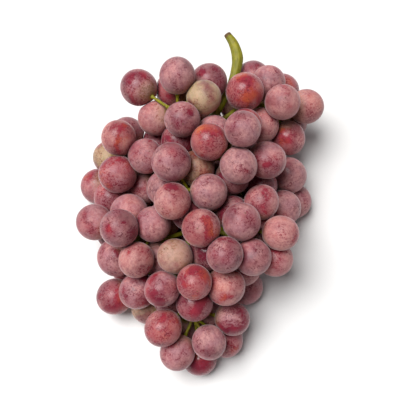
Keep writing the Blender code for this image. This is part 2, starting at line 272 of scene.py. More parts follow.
    def relaxBranches(self, rest, rodStarts, rodEnds, rodLengths):  # length, smoothness and a little spring
        rod = self.points[rodEnds] - self.points[rodStarts]
        distance = lengthOf(rod)
        pull = rod * ((distance - rodLengths) / distance * 0.5)[:, None]
        move = np.zeros_like(self.points)
        np.add.at(move, rodStarts, pull)
        np.add.at(move, rodEnds, -pull)
        for line in self.branches:
            inner = self.points[line[:-2]] + self.points[line[2:]]
            move[line[1:-1]] += (inner / 2 - self.points[line[1:-1]]) * growth["smoothing"]
            move[line[1:]] += (rest[line[1:]] - self.points[line[1:]]) * growth["spring"]
        self.points += move * np.where(self.freedom == growth["branchFreedom"], 1.0, 0.0)[:, None]

    def settle(self):
        g = growth
        rest = self.points.copy()
        rodStarts = np.array([rod[0] for rod in self.rods])
        rodEnds = np.array([rod[1] for rod in self.rods])
        rodLengths = lengthOf(rest[rodEnds] - rest[rodStarts])
        innerPoints = np.array([point for line in self.branches for point in line[1:]])
        for step in range(g["steps"]):
            ease = min(1, g["startSize"] + step / g["steps"])
            late = step > g["late"] * g["steps"]
            if step % g["refresh"] == 0:
                if not late:
                    self.findNeighbours()
                self.findContacts()
            self.shift = np.zeros_like(self.points)
            self.pushes = np.zeros(len(self.points))
            self.keepApart(ease)
            self.keepOnStalks(ease, late)
            self.keepTogether(ease)
            self.points += self.shift / np.maximum(1, self.pushes)[:, None] * g["haste"]
            self.relaxBranches(rest, rodStarts, rodEnds, rodLengths)
            centre = self.points[self.berry]
            if not late:
                beside = stemLine(np.clip(-centre[:, 1] / g["stemLength"], 0, 1))
                centre = centre + (beside - centre) * g["draw"]
                centre[:, 2] -= g["weight"]
            centre[:, 2] = np.maximum(centre[:, 2], self.radius * ease - g["sink"])
            self.points[self.berry] = centre
            self.points[innerPoints, 2] = np.maximum(self.points[innerPoints, 2], g["lowestStem"])
        self.points = np.round(self.points, g["decimals"][1])

    def centreOnOrigin(self):
        centre = self.points[self.berry]
        low = (centre - self.radius[:, None]).min(0)
        high = (centre + self.radius[:, None]).max(0)
        high[1] = max(high[1], self.points[self.cutEnd[-1]][1])
        middle = np.round((low + high) / 2, growth["decimals"][2])
        self.points -= np.array([middle[0], middle[1], 0.0])


vine = Vine()
vine.settle()
vine.centreOnOrigin()
centres = vine.points[vine.berry]
stalkWays = centres - vine.points[vine.carrier]
stalkWays = stalkWays / lengthOf(stalkWays)[:, None]
print("bunch grown,", vine.count, "berries")


# Trees of nodes, for shapes and for materials

class Wire:  # a socket whose maths is written with + - and *

    def __init__(self, graph, socket):
        self.graph, self.socket = graph, socket

    def maths(self, operation, first, second):
        return self.graph.add("ShaderNodeMath", {"operation": operation}, {0: first, 1: second})

    def __add__(self, other):
        return self.maths("ADD", self, other)

    def __radd__(self, other):
        return self.maths("ADD", other, self)

    def __sub__(self, other):
        return self.maths("SUBTRACT", self, other)

    def __rsub__(self, other):
        return self.maths("SUBTRACT", other, self)

    def __mul__(self, other):
        return self.maths("MULTIPLY", self, other)

    def __rmul__(self, other):
        return self.maths("MULTIPLY", other, self)


class Graph:  # one method adds any node

    def __init__(self, tree):
        self.tree = tree

    def socketOf(self, sockets, key):
        if isinstance(key, int):
            return sockets[key]
        shown = (socket for socket in sockets if socket.enabled)
        return next(socket for socket in shown if key in (socket.name, socket.identifier))

    def add(self, kind, settings=None, inputs=None, output=None):
        node = self.tree.nodes.new(kind)
        for name, value in (settings or {}).items():
            if name == "stops":
                self.setStops(node.color_ramp, value)
            else:
                setattr(node, name, value)
        for key, value in (inputs or {}).items():
            socket = self.socketOf(node.inputs, key)
            if isinstance(value, Wire):
                self.tree.links.new(value.socket, socket)
            else:
                socket.default_value = value
        if output is not None:
            return Wire(self, self.socketOf(node.outputs, output))
        shown = [socket for socket in node.outputs if socket.enabled]
        return Wire(self, shown[0]) if shown else None

    def setStops(self, ramp, stops):
        while len(ramp.elements) < len(stops):
            ramp.elements.new(1.0)
        for element, (place, colour) in zip(ramp.elements, stops):
            element.position = place
            element.color = (*colour, 1.0)

    def stored(self, name, kind):  # what the points of a shape carry under that name
        return self.add("GeometryNodeInputNamedAttribute", {"data_type": kind}, {"Name": name}, "Attribute")


def openShapeTree(name, inputs):  # a tree that makes a shape, with named inputs
    tree = bpy.data.node_groups.new(name, "GeometryNodeTree")
    for label, kind in (("Geometry", "NodeSocketGeometry"), *inputs):
        tree.interface.new_socket(label, in_out="INPUT", socket_type=kind)
    tree.interface.new_socket("Geometry", in_out="OUTPUT", socket_type="NodeSocketGeometry")
    g = Graph(tree)
    group = tree.nodes.new("NodeGroupInput")
    return g, {socket.name: Wire(g, socket) for socket in group.outputs}


def closeShapeTree(g, shape, finish):
    real = g.add("GeometryNodeRealizeInstances", None, {"Geometry": shape})
    dressed = g.add("GeometryNodeSetMaterial", None, {"Geometry": real, "Material": finish})
    end = g.tree.nodes.new("NodeGroupOutput")
    g.tree.links.new(dressed.socket, end.inputs[0])
    return g.tree


def plainMesh(piece):  # what its modifiers make of it
    bpy.context.view_layer.update()
    graph = bpy.context.evaluated_depsgraph_get()
    return bpy.data.meshes.new_from_object(piece.evaluated_get(graph))


def addObject(name, data):
    item = bpy.data.objects.new(name, data)
    bpy.context.scene.collection.objects.link(item)
    return item


def runTree(name, mesh, tree, values):  # a piece with the tree's result as its mesh
    piece = addObject(name, mesh)
    modifier = piece.modifiers.new("grow", "NODES")
    modifier.node_group = tree
    for item in tree.interface.items_tree:
        if item.in_out == "INPUT" and item.name in values:
            modifier[item.identifier] = values[item.name]
    result = plainMesh(piece)
    piece.modifiers.remove(modifier)
    piece.data = result
    result.name = name
    return piece


class Finish(Graph):  # a material, with the noises, cells and soft steps that its settings name

    def __init__(self, name, look):
        self.look = look
        self.material = bpy.data.materials.new(name)
        self.material.use_nodes = True
        super().__init__(self.material.node_tree)
        self.tree.nodes.clear()

    def attribute(self, name, output="Fac"):
        return self.add("ShaderNodeAttribute", {"attribute_name": name}, None, output)

    def objectPlace(self):
        return self.add("ShaderNodeTexCoord", None, None, "Object")

    def shift(self, place, offset):
        return self.add("ShaderNodeVectorMath", {"operation": "ADD"}, {0: place, 1: offset})

    def stretch(self, place, scale):
        return self.add("ShaderNodeVectorMath", {"operation": "MULTIPLY"}, {0: place, 1: scale})

    def noise(self, name, place):
        scale, detail, roughness, distortion, *offset = self.look["noises"][name]
        if offset:
            place = self.shift(place, offset[0])
        inputs = {"Scale": scale, "Detail": detail, "Roughness": roughness, "Distortion": distortion}
        return self.add("ShaderNodeTexNoise", None, {"Vector": place, **inputs}, "Fac")

    def cells(self, name, place):
        scale = self.look["cells"][name]
        return self.add("ShaderNodeTexVoronoi", None, {"Vector": place, "Scale": scale}, "Distance")

    def step(self, name, value):
        low, high, *ends = self.look["steps"][name]
        bottom, top = ends or (0.0, 1.0)
        inputs = {"Value": value, "From Min": low, "From Max": high, "To Min": bottom, "To Max": top}
        return self.add("ShaderNodeMapRange", {"interpolation_type": "SMOOTHSTEP"}, inputs)

    def mix(self, factor, first, second):
        first, second = (side if isinstance(side, Wire) else (*side, 1.0) for side in (first, second))
        inputs = {"Factor_Float": factor, "A_Color": first, "B_Color": second}
        return self.add("ShaderNodeMix", {"data_type": "RGBA"}, inputs)

    def finish(self, base, rough, height):
        strength, distance = self.look["bump"]
        bump = {"Height": height, "Strength": strength, "Distance": distance}
        normal = self.add("ShaderNodeBump", None, bump)
        sockets = {"Base Color": base, "Roughness": rough, "Normal": normal, **self.look["shader"]}
        shader = self.add("ShaderNodeBsdfPrincipled", None, sockets)
        self.add("ShaderNodeOutputMaterial", None, {"Surface": shader})
        return self.material


# Materials. A noise has its scale, detail, roughness and distortion, and a shift where it has to differ from
# another. A step has the values where it begins and ends, and what it gives there unless that is 0 and 1.

skin = {
    "bloom": (0.61, 0.318, 0.305), "bloomCool": (0.50, 0.258, 0.272), "bloomWarm": (0.62, 0.335, 0.285),
    "bloomPale": (0.52, 0.42, 0.25), "bloomPaleShare": 0.62,
    "underSkin": (
        (0.00, (0.070, 0.006, 0.017)), (0.32, (0.165, 0.011, 0.030)), (0.64, (0.295, 0.026, 0.044)),
        (0.86, (0.42, 0.070, 0.038)), (1.00, (0.52, 0.145, 0.050)),
    ),
    "pale": (0.36, 0.29, 0.10), "freckle": (0.150, 0.017, 0.028), "scar": (0.15, 0.065, 0.035),
    "stalkEnd": (0.34, 0.22, 0.055),
    "film": 0.80, "bloomSpread": 0.26, "patchSpread": 0.13, "fleckSpread": 0.16, "rubShare": 0.70,
    "raggedShare": 0.40, "streakStretch": (4.6, 4.6, 0.9), "haloFlecks": 0.7,
    # the last of the next four: bloom lost where berries touch, partly rubbed off and partly painted shade
    # between berries
    "fleckLoss": 0.70, "haloLoss": 0.26, "patchLoss": 0.90, "wearAndShadeLoss": 0.62,
    "toneMiddle": 0.40, "toneSpread": 1.35, "hueSpread": 0.36, "patchTone": 0.15, "greenCloud": 0.9,
    "speckShare": 0.8, "fleckShare": 0.30, "scratchShare": 0.75, "marksInBloom": 0.40,
    "gloss": 0.15, "dustRoughness": 0.60, "unevenGloss": 0.06,
    "poreHeight": 0.35, "mottleHeight": 0.5, "markDepth": 0.6, "patchDepth": 0.15, "bump": (0.16, 0.0003),
    "noises": {
        "cloud": (0.95, 2.5, 0.50, 0.0), "mottle": (6.5, 5.0, 0.68, 0.0), "grain": (24.0, 3.0, 0.60, 0.0),
        "rub": (0.92, 1.5, 0.45, 0.4, (3.7, 8.1, 2.2)), "ragged": (3.6, 6.0, 0.74, 0.7),
        "streaks": (1.5, 3.0, 0.60, 0.0), "crowd": (1.5, 2.0, 0.50, 0.0, (2.2, 7.7, 5.1)),
        "flecks": (10.0, 3.0, 0.66, 0.0), "tone": (0.85, 2.5, 0.50, 0.0, (7.3, 1.9, 4.1)),
        "cool": (1.6, 2.0, 0.50, 0.0), "dotCrowd": (2.3, 1.0, 0.50, 0.0),
        "speckCrowd": (2.0, 2.0, 0.50, 0.0, (5.5, 0.4, 9.0)),
        "scratch": (2.4, 4.0, 0.60, 0.9, (1.2, 6.6, 3.3)), "scratchCrowd": (1.3, 1.0, 0.50, 0.0),
        "pores": (30.0, 3.0, 0.60, 0.0), "gloss": (23.0, 2.0, 0.50, 0.0),
    },
    "cells": {"dots": 7.0, "specks": 17.0},
    "steps": {
        "thin": (0.36, 0.62, 0.46, 1.0), "mottle": (0.32, 0.60, 0.56, 1.0), "grain": (0.30, 0.56, 0.78, 1.0),
        "streaks": (0.34, 0.56, 0.82, 1.0), "patch": (0.615, 0.695), "halo": (0.52, 0.65),
        "crowd": (0.50, 0.59), "flecks": (0.50, 0.58), "fleckPlace": (0.0, 1.0),
        "green": (0.85, 1.50, 0.0, 0.50), "paleCloud": (0.30, 0.62), "cool": (0.36, 0.62),
        "warm": (0.60, 1.0, 0.0, 0.70), "bare": (0.85, 0.30), "dots": (0.21, 0.10), "dotCrowd": (0.44, 0.54),
        "specks": (0.32, 0.14), "speckCrowd": (0.44, 0.56), "scratch": (0.00045, 0.00008),
        "scratchCrowd": (0.48, 0.57), "marks": (0.0, 1.0, 0.0, 0.85), "scar": (-0.9986, -0.9997, 0.0, 0.8),
        "stalkEnd": (0.945, 0.99, 0.0, 0.8),
    },
    "shader": {
        "IOR": 1.42, "Specular IOR Level": 0.36, "Subsurface Weight": 0.14,
        "Subsurface Radius": (1.0, 0.25, 0.15), "Subsurface Scale": 0.0030,
        "Sheen Weight": 0.42, "Sheen Roughness": 0.34, "Sheen Tint": (1.0, 0.80, 0.82, 1.0),
    },
}


def makeSkin():  # patterns on a berry of radius 1 with its stalk at +Z, each berry at a spot of its own
    s = skin
    f = Finish("grapeSkin", s)
    local = f.add("ShaderNodeVectorMath", {"operation": "NORMALIZE"}, {0: f.attribute("local", "Vector")})
    place = f.shift(local, f.attribute("spot", "Vector"))
    up = f.add("ShaderNodeSeparateXYZ", None, {"Vector": local}, "Z")
    hue, bloomy, paleness, wear = (f.attribute(name) for name in ("hue", "bloomy", "pale", "wear"))

    # bloom: a dusty layer, thin in soft clouds, mottled, flecked, and rubbed right off in ragged patches
    cloud = f.noise("cloud", place)
    mottle = f.noise("mottle", place)
    rub = f.noise("rub", place) * s["rubShare"] + f.noise("ragged", place) * s["raggedShare"]
    edge = rub + (0.5 - bloomy) * s["patchSpread"]
    patch = f.step("patch", edge)
    halo = f.step("halo", edge)
    streaks = f.noise("streaks", f.stretch(place, s["streakStretch"]))
    crowd = f.step("crowd", f.noise("crowd", place) + (0.5 - bloomy) * s["fleckSpread"])
    flecked = f.step("fleckPlace", crowd + halo * s["haloFlecks"])
    flecks = f.step("flecks", f.noise("flecks", place)) * flecked
    dust = f.step("thin", cloud + (bloomy - 0.5) * s["bloomSpread"]) * f.step("mottle", mottle)
    dust = dust * f.step("streaks", streaks) * f.step("grain", f.noise("grain", place))
    dust = dust * (1.0 - flecks * s["fleckLoss"]) * (1.0 - halo * s["haloLoss"])
    # less bloom where berries touch, so the dark skin shows: partly bloom rubbed off there, partly painted
    # shade in the crevices between berries
    dust = dust * (1.0 - patch * s["patchLoss"]) * (1.0 - wear * s["wearAndShadeLoss"])

    # the skin under it, from wine through crimson to orange, greener near the stalk and on pale berries
    tone = (f.noise("tone", place) - 0.5) * s["toneSpread"] + s["toneMiddle"]
    tone = tone + (hue - 0.5) * s["hueSpread"] + patch * s["patchTone"]
    under = f.add("ShaderNodeValToRGB", {"stops": s["underSkin"]}, {"Fac": tone}, "Color")
    green = f.step("green", up + cloud * s["greenCloud"]) + paleness * f.step("paleCloud", cloud)
    under = f.mix(green, under, s["pale"])
    film = f.mix(f.step("cool", f.noise("cool", place)), s["bloomCool"], s["bloom"])
    film = f.mix(f.step("warm", hue), film, s["bloomWarm"])
    film = f.mix(paleness * s["bloomPaleShare"], film, s["bloomPale"])
    base = f.mix(dust * s["film"], under, film)

    # freckles and hairline scratches where the bloom is thin, the mark at the far end and the stalk's ring
    dots = f.step("dots", f.cells("dots", place)) * f.step("dotCrowd", f.noise("dotCrowd", place))
    speckled = f.step("speckCrowd", f.noise("speckCrowd", place))
    specks = f.step("specks", f.cells("specks", place)) * speckled
    line = f.noise("scratch", place) - 0.5
    scratch = f.step("scratch", line * line) * f.step("scratchCrowd", f.noise("scratchCrowd", place))
    marks = dots + specks * s["speckShare"] + flecks * s["fleckShare"] + scratch * s["scratchShare"]
    marks = marks * (f.step("bare", dust) * (1 - s["marksInBloom"]) + s["marksInBloom"])
    base = f.mix(f.step("marks", marks), base, s["freckle"])
    base = f.mix(f.step("scar", up), base, s["scar"])
    base = f.mix(f.step("stalkEnd", up), base, s["stalkEnd"])

    rough = s["gloss"] + dust * s["dustRoughness"] + f.noise("gloss", place) * s["unevenGloss"]
    height = f.noise("pores", place) * s["poreHeight"] + mottle * s["mottleHeight"]
    return f.finish(base, rough, height - marks * s["markDepth"] - patch * s["patchDepth"])


greenStem = {
    "fresh": (0.185, 0.182, 0.010), "bright": (0.320, 0.285, 0.012), "deep": (0.055, 0.066, 0.006),
    "bark": (0.130, 0.070, 0.028), "cut": (0.23, 0.15, 0.075), "wart": (0.165, 0.105, 0.040),
    "fibreStretch": (1.0, 0.16, 1.0), "corkShare": 0.75, "corkLessOnMain": 0.40, "wartShare": 0.6,
    "dryUneven": 0.8, "gloss": 0.47, "fibreRoughness": 0.16, "dryRoughness": 0.20,
    "fibreHeight": 0.7, "wartHeight": 0.9, "corkHeight": 0.4, "bump": (0.40, 0.0003),
    "noises": {
        "fibres": (1100.0, 3.0, 0.60, 0.0), "patchy": (95.0, 4.0, 0.60, 0.0),
        "shade": (48.0, 2.0, 0.50, 0.0), "cork": (230.0, 4.0, 0.65, 0.0),
        "wartCrowd": (300.0, 1.0, 0.50, 0.0),
    },
    "cells": {"warts": 640.0},
    "steps": {
        "patchy": (0.32, 0.66), "fibres": (0.40, 0.72, 0.0, 0.38), "shade": (0.50, 0.64, 0.0, 0.35),
        "cork": (0.56, 0.66), "warts": (0.30, 0.14), "wartCrowd": (0.45, 0.58), "dry": (0.42, 0.72),
        "cut": (0.93, 0.97),
    },
    "shader": {
        "Specular IOR Level": 0.30, "Subsurface Weight": 0.10, "Subsurface Radius": (0.8, 0.9, 0.3),
        "Subsurface Scale": 0.0012,
    },
}


def makeStem():
    s = greenStem
    f = Finish("greenStem", s)
    place = f.objectPlace()
    thick = f.attribute("thick")  # 1 on the main stem, 0 on berry stalks
    dry = f.attribute("dry")  # 1 where the stem was cut or a flower fell off
    fibres = f.noise("fibres", f.stretch(place, s["fibreStretch"]))
    patchy = f.noise("patchy", place)
    base = f.mix(f.step("patchy", patchy), s["fresh"], s["bright"])
    base = f.mix(f.step("fibres", fibres), base, s["deep"])
    base = f.mix(f.step("shade", f.noise("shade", place)), base, s["deep"])
    corky = f.step("cork", f.noise("cork", place)) * (s["corkShare"] - thick * s["corkLessOnMain"])
    base = f.mix(corky, base, s["bark"])
    warts = f.step("warts", f.cells("warts", place)) * f.step("wartCrowd", f.noise("wartCrowd", place))
    base = f.mix(warts * s["wartShare"], base, s["wart"])
    base = f.mix(f.step("dry", dry + (patchy - 0.5) * s["dryUneven"]), base, s["bark"])
    base = f.mix(f.step("cut", dry) * thick, base, s["cut"])
    rough = s["gloss"] + fibres * s["fibreRoughness"] + dry * s["dryRoughness"]
    height = fibres * s["fibreHeight"] + warts * s["wartHeight"] + corky * s["corkHeight"]
    return f.finish(base, rough, height)


paleTable = {
    "dark": (0.80, 0.79, 0.775), "light": (0.83, 0.825, 0.815), "rough": 0.55, "bump": (0.05, 0.0003),
    "noises": {"tint": (6.0, 3.0, 0.50, 0.0), "tooth": (400.0, 2.0, 0.50, 0.0)},
    "steps": {"tint": (0.3, 0.7)},
    "shader": {"Specular IOR Level": 0.3},
}


def makeTableFinish():
    f = Finish("paleTable", paleTable)
    place = f.objectPlace()
    base = f.mix(f.step("tint", f.noise("tint", place)), paleTable["dark"], paleTable["light"])
    return f.finish(base, paleTable["rough"], f.noise("tooth", place))


skinFinish = makeSkin()
stemFinish = makeStem()
print("materials made")


# Berries: one detailed berry, set on the points of each side branch and pressed flat where berries meet

berryShape = {
    "sides": 34, "rings": 26, "ringsAtEnds": 0.088, "dimple": 0.050, "dimpleWidth": 0.26,
    "scarPit": 0.014, "scarPitWidth": 0.11, "scarBead": 0.016, "scarBeadWidth": 0.036,
}
berryLook = {
    "seed": 7, "size": 1.0, "slimmer": 0.065, "slimmerPower": 1.5, "paleShare": 0.045,
    "paleRange": (0.45, 0.9), "spotRange": 90,
    "lumps": 0.014, "lumpWays": ((2.1, 1.3, 1.7), (-1.2, 2.4, 0.9)),
    # the last two: how far from a touching berry the rubbed bloom and painted shade reach, and how far to
    # look for such berries
    "soft": 0.00035, "skinGap": 0.00003, "pressReach": 1.01, "wearAndShadeReach": 0.0013, "wearAndShadeSearch": 0.004,
}


def makeMesh(name, points, faces=(), edges=()):
    mesh = bpy.data.meshes.new(name)
    mesh.from_pydata([tuple(point) for point in points], edges, faces)
    mesh.update()
    return mesh


def setAttribute(mesh, name, kind, values):
    layer = mesh.attributes.new(name, kind, "POINT")
    field = "vector" if kind == "FLOAT_VECTOR" else "value"
    layer.data.foreach_set(field, np.asarray(values, np.int32 if kind == "INT" else np.float32).ravel())


def readAttribute(mesh, name, field, width, kind):
    values = np.zeros(len(mesh.vertices) * width, kind)
    mesh.attributes[name].data.foreach_get(field, values)
    return values.reshape(-1, width)


def bulge(distance, reach):  # 1 at no distance, falling softly to 0
    return np.exp(-(distance / reach) ** 2)


def makeOneBerry():  # radius 1, its stalk at +Z and the mark of its flower at -Z
    s = berryShape
    rings = []
    for number in range(1, s["rings"]):
        even = number / s["rings"]
        angle = math.pi * (even - s["ringsAtEnds"] * math.sin(2 * math.pi * even))
        far = math.pi - angle
        size = 1 - s["dimple"] * bulge(angle, s["dimpleWidth"])
        size -= s["scarPit"] * bulge(far, s["scarPitWidth"])
        size += s["scarBead"] * bulge(far, s["scarBeadWidth"])
        rings.append((size * math.sin(angle), size * math.cos(angle)))
    points = [(0, 0, 1 - s["dimple"])]
    for across, up in rings:
        for side in range(s["sides"]):
            turn = 2 * math.pi * side / s["sides"]
            points.append((across * math.cos(turn), across * math.sin(turn), up))
    points.append((0, 0, -(1 - s["scarPit"] + s["scarBead"])))
    faces = []
    for side in range(s["sides"]):
        after = (side + 1) % s["sides"]
        faces.append((0, 1 + side, 1 + after))
        for ring in range(len(rings) - 1):
            top, bottom = 1 + ring * s["sides"], 1 + (ring + 1) * s["sides"]
            faces.append((top + side, bottom + side, bottom + after, top + after))
        bottom = 1 + (len(rings) - 1) * s["sides"]
        faces.append((bottom + side, len(points) - 1, bottom + after))
    mesh = makeMesh("oneBerry", points, faces)
    setAttribute(mesh, "local", "FLOAT_VECTOR", [Vector(point).normalized() for point in points])
    mesh.shade_smooth()
    return bpy.data.objects.new("oneBerry", mesh)


def makeBerryTree():  # sets the berry on every point, turned to its stalk and scaled to its radius
    inputs = (("Berry", "NodeSocketObject"), ("Size", "NodeSocketFloat"), ("Skin", "NodeSocketMaterial"))
    g, given = openShapeTree("berriesOnBranch", inputs)
    berry = g.add("GeometryNodeObjectInfo", None, {"Object": given["Berry"]}, "Geometry")
    way = g.stored("stalkWay", "FLOAT_VECTOR")
    spin = g.stored("spin", "FLOAT")
    turned = g.add("FunctionNodeAlignRotationToVector", {"axis": "Z"}, {"Vector": way})
    spun = g.add("FunctionNodeAxisAngleToRotation", None, {"Axis": (0.0, 0.0, 1.0), "Angle": spin})
    rotation = {"Rotation": turned, "Rotate By": spun}
    both = g.add("FunctionNodeRotateRotation", {"rotation_space": "LOCAL"}, rotation)
    radius = g.stored("berrySize", "FLOAT") * given["Size"]
    placing = {"Points": given["Geometry"], "Instance": berry, "Rotation": both, "Scale": radius}
    placed = g.add("GeometryNodeInstanceOnPoints", None, placing)
    return closeShapeTree(g, placed, given["Skin"])


def makeUneven(away, local, berry, look):  # faint lumps, and a little slimmer round the line of its stalk
    ways = zip(berryLook["lumpWays"], look["spot"][berry])
    first, second = (np.sin(local @ np.array(way) + turn) for way, turn in ways)
    size = 1 + berryLook["lumps"] * (first * second - 1) * 0.5
    away = away * size[:, None]
    along = dotOf(away, stalkWays[berry])[:, None] * stalkWays[berry]
    return along + (away - along) * (1 - look["slimmer"][berry])


def keepInBox(away, centre):  # a berry at the edge of the bunch stays within the box of the solids
    for axis in (0, 1):
        for side, corner in ((-1, cadBox[0]), (1, cadBox[1])):
            room = (corner[axis] - centre[axis]) * side
            reach = (away[:, axis] * side).max()
            if reach > room:
                away[away[:, axis] * side > 0, axis] *= room / reach
    return away


def pressFlat(points, berry):  # berries of a branch meet in a soft-edged flat, and the lowest rest on one
    centre, radius = centres[berry], vine.radius[berry]
    soft = berryLook["soft"]
    distances = lengthOf(centres - centre)
    pressing = (vine.branch == vine.branch[berry]) & (distances < vine.radius + radius)
    pressing[berry] = False
    planes = []
    for other in np.nonzero(pressing)[0]:
        distance = distances[other]
        reach = (distance ** 2 + radius ** 2 - vine.radius[other] ** 2) / (2 * distance)
        planes.append(((centres[other] - centre) / distance, reach - berryLook["skinGap"]))
    planes.append((np.array([0.0, 0.0, -1.0]), centre[2]))
    for way, limit in planes:
        if limit <= radius * berryLook["pressReach"]:
            height = dotOf(points - centre, way)
            eased = -soft * np.logaddexp(-height / soft, -limit / soft)  # softly the smaller of the two
            points += (eased - height)[:, None] * way
    return points


# painted shade between berries, partly real: the bloom is also rubbed thin where berries touch
def wearAndShadeOf(points, berry):  # 1 where another berry touches, falling to 0 within about a millimetre
    nearest = np.full(len(points), 1.0)
    reach = vine.radius + vine.radius[berry] + berryLook["wearAndShadeSearch"]
    for other in np.nonzero(lengthOf(centres - centres[berry]) <= reach)[0]:
        if other != berry:
            gap = lengthOf(points - centres[other]) - vine.radius[other]
            nearest = np.minimum(nearest, np.maximum(gap, 0))
    return bulge(nearest, berryLook["wearAndShadeReach"])


def makeBranchBerries(number, oneBerry, tree, look):
    members = np.nonzero(vine.branch == number)[0]
    name = f"grapes{number + 1:02d}"
    mesh = makeMesh(name + "Points", centres[members])
    setAttribute(mesh, "stalkWay", "FLOAT_VECTOR", -stalkWays[members])
    setAttribute(mesh, "berrySize", "FLOAT", vine.radius[members])
    setAttribute(mesh, "berryNumber", "INT", members)
    for key in ("spin", "hue", "bloomy", "pale"):
        setAttribute(mesh, key, "FLOAT", look[key][members])
    setAttribute(mesh, "spot", "FLOAT_VECTOR", look["spot"][members])
    piece = runTree(name, mesh, tree, {"Berry": oneBerry, "Size": berryLook["size"], "Skin": skinFinish})
    data = piece.data
    points = readAttribute(data, "position", "vector", 3, np.float32).astype(float)
    local = readAttribute(data, "local", "vector", 3, np.float32)
    owner = readAttribute(data, "berryNumber", "value", 1, np.int32)[:, 0]
    wear = np.zeros(len(points))
    for berry in members:
        mine = owner == berry
        away = makeUneven(points[mine] - centres[berry], local[mine], berry, look)
        points[mine] = pressFlat(centres[berry] + keepInBox(away, centres[berry]), berry)
        # where berries touch: bloom rubbed off and painted shade between berries
        wear[mine] = wearAndShadeOf(points[mine], berry)
    data.vertices.foreach_set("co", points.astype(np.float32).ravel())
    setAttribute(data, "wear", "FLOAT", wear)
    data.update()
    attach(piece, root)
    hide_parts(f"berries_{number + 1:02d}")


def makeLook():  # what differs from berry to berry
    b = berryLook
    rng = random.Random(b["seed"])
    rows = []
    for berry in range(vine.count):
        pale = 1.0 if rng.random() < b["paleShare"] else 0.0
        rows.append({
            "spin": rng.uniform(0, 2 * math.pi), "hue": rng.random(), "bloomy": rng.random(),
            "pale": pale * rng.uniform(*b["paleRange"]),
            "slimmer": rng.random() ** b["slimmerPower"] * b["slimmer"],
            "spot": [rng.uniform(0, b["spotRange"]) for axis in range(3)],
        })
    return {key: np.array([row[key] for row in rows]) for key in rows[0]}


look = makeLook()
oneBerry = makeOneBerry()
berryTree = makeBerryTree()
for number in range(growth["branches"]):
    makeBranchBerries(number, oneBerry, berryTree, look)
bpy.data.objects.remove(oneBerry)
print("berries made")


# Stems: tubes along the stem lines, melted into one another so that they look grown and not joined

stemShape = {
    "ribs": 7, "ribDepth": 0.06, "ribCrown": 0.3, "spacing": 0.0008, "voxel": 0.00040, "easeFactor": 0.5,
    "easeRounds": 2, "keepFaces": 0.45, "nearPoints": 3, "blur": 0.00005, "cutReach": 0.0055,
    "collar": 1.45, "collarReach": 0.0030, "knot": 0.28, "knotReach": 0.0013,
    "stalkSpacing": 0.0007, "stalkParts": 4, "stalkShares": (0.15, 0.25), "dimpleGap": 0.0001,
    "stalkFoot": 0.35, "stalkFootReach": 0.0016, "receptacle": 0.00175, "receptacleReach": 0.0012,
}
stubShape = {
    "seed": 5, "chance": 0.65, "tries": 12, "lengths": (0.0016, 0.0034), "radii": (0.0007, 0.0005),
    "clear": 0.0004, "lowest": 0.002, "points": 6, "dryRamp": (-0.6, 1.0),
}


def smoothLine(points, radii, spacing):  # a smooth curve through the points, with a radius at each
    points = [np.array(point, float) for point in points]
    points = [2 * points[0] - points[1]] + points + [2 * points[-1] - points[-2]]
    line, sizes = [], []
    for number in range(1, len(points) - 2):
        a, b, c, d = points[number - 1:number + 3]
        squared, cubed = 2 * a - 5 * b + 4 * c - d, 3 * b - a - 3 * c + d
        parts = max(2, int(round(lengthOf(c - b) / spacing)))
        for part in range(parts):
            t = part / parts
            line.append(0.5 * (2 * b + (c - a) * t + squared * t * t + cubed * t ** 3))
            sizes.append(blendPair((radii[number - 1], radii[number]), t))
    line.append(points[-2])
    sizes.append(radii[-1])
    return np.array(line), np.array(sizes)


def mainStemLine():
    points = [vine.points[i] for i in vine.cutEnd[::-1] + vine.stem]
    shares = [i / growth["stemSpans"] for i in range(growth["stemSpans"] + 1)]
    radii = [row[3] for row in growth["cutEnd"][::-1]]
    radii += [blendPair(growth["stemRadii"], share) for share in shares]
    line, sizes = smoothLine(points, radii, stemShape["spacing"])
    dry = np.clip(1 - lengthOf(line - line[0]) / stemShape["cutReach"], 0, 1)
    return line, sizes, 1.0, dry


def sideBranchLine(branch):  # a collar where it leaves the main stem, and a knot at each stalk
    s = stemShape
    radii = [blendPair(growth["branchRadii"], i / (len(branch) - 1)) for i in range(len(branch))]
    line, sizes = smoothLine(vine.points[branch], radii, s["spacing"])
    along = np.concatenate([[0], np.cumsum(lengthOf(line[1:] - line[:-1]))])
    sizes = sizes * (1 + (s["collar"] - 1) * bulge(along, s["collarReach"]))
    nearest = lengthOf(line[:, None] - vine.points[branch[1:]]).min(1)
    return line, sizes * (1 + s["knot"] * bulge(nearest, s["knotReach"])), 0.5, np.zeros(len(line))


def stalkLine(berry):  # a foot on the branch and a flared receptacle at the berry
    s = stemShape
    start = vine.points[vine.carrier[berry]]
    dimple = vine.radius[berry] * (1 - berryShape["dimple"]) + s["dimpleGap"]
    end = centres[berry] - stalkWays[berry] * dimple
    size = float(lengthOf(end - start))
    share = np.linspace(0, 1, max(s["stalkParts"], int(size / s["stalkSpacing"])) + 1)
    sizes = blendPair(growth["stalkRadii"], blendPair(s["stalkShares"], share))
    sizes = sizes * (1 + s["stalkFoot"] * bulge(share * size, s["stalkFootReach"]))
    sizes = sizes + (s["receptacle"] - sizes) * bulge((1 - share) * size, s["receptacleReach"])
    return start + (end - start) * share[:, None], sizes, 0.0, np.zeros(len(share))


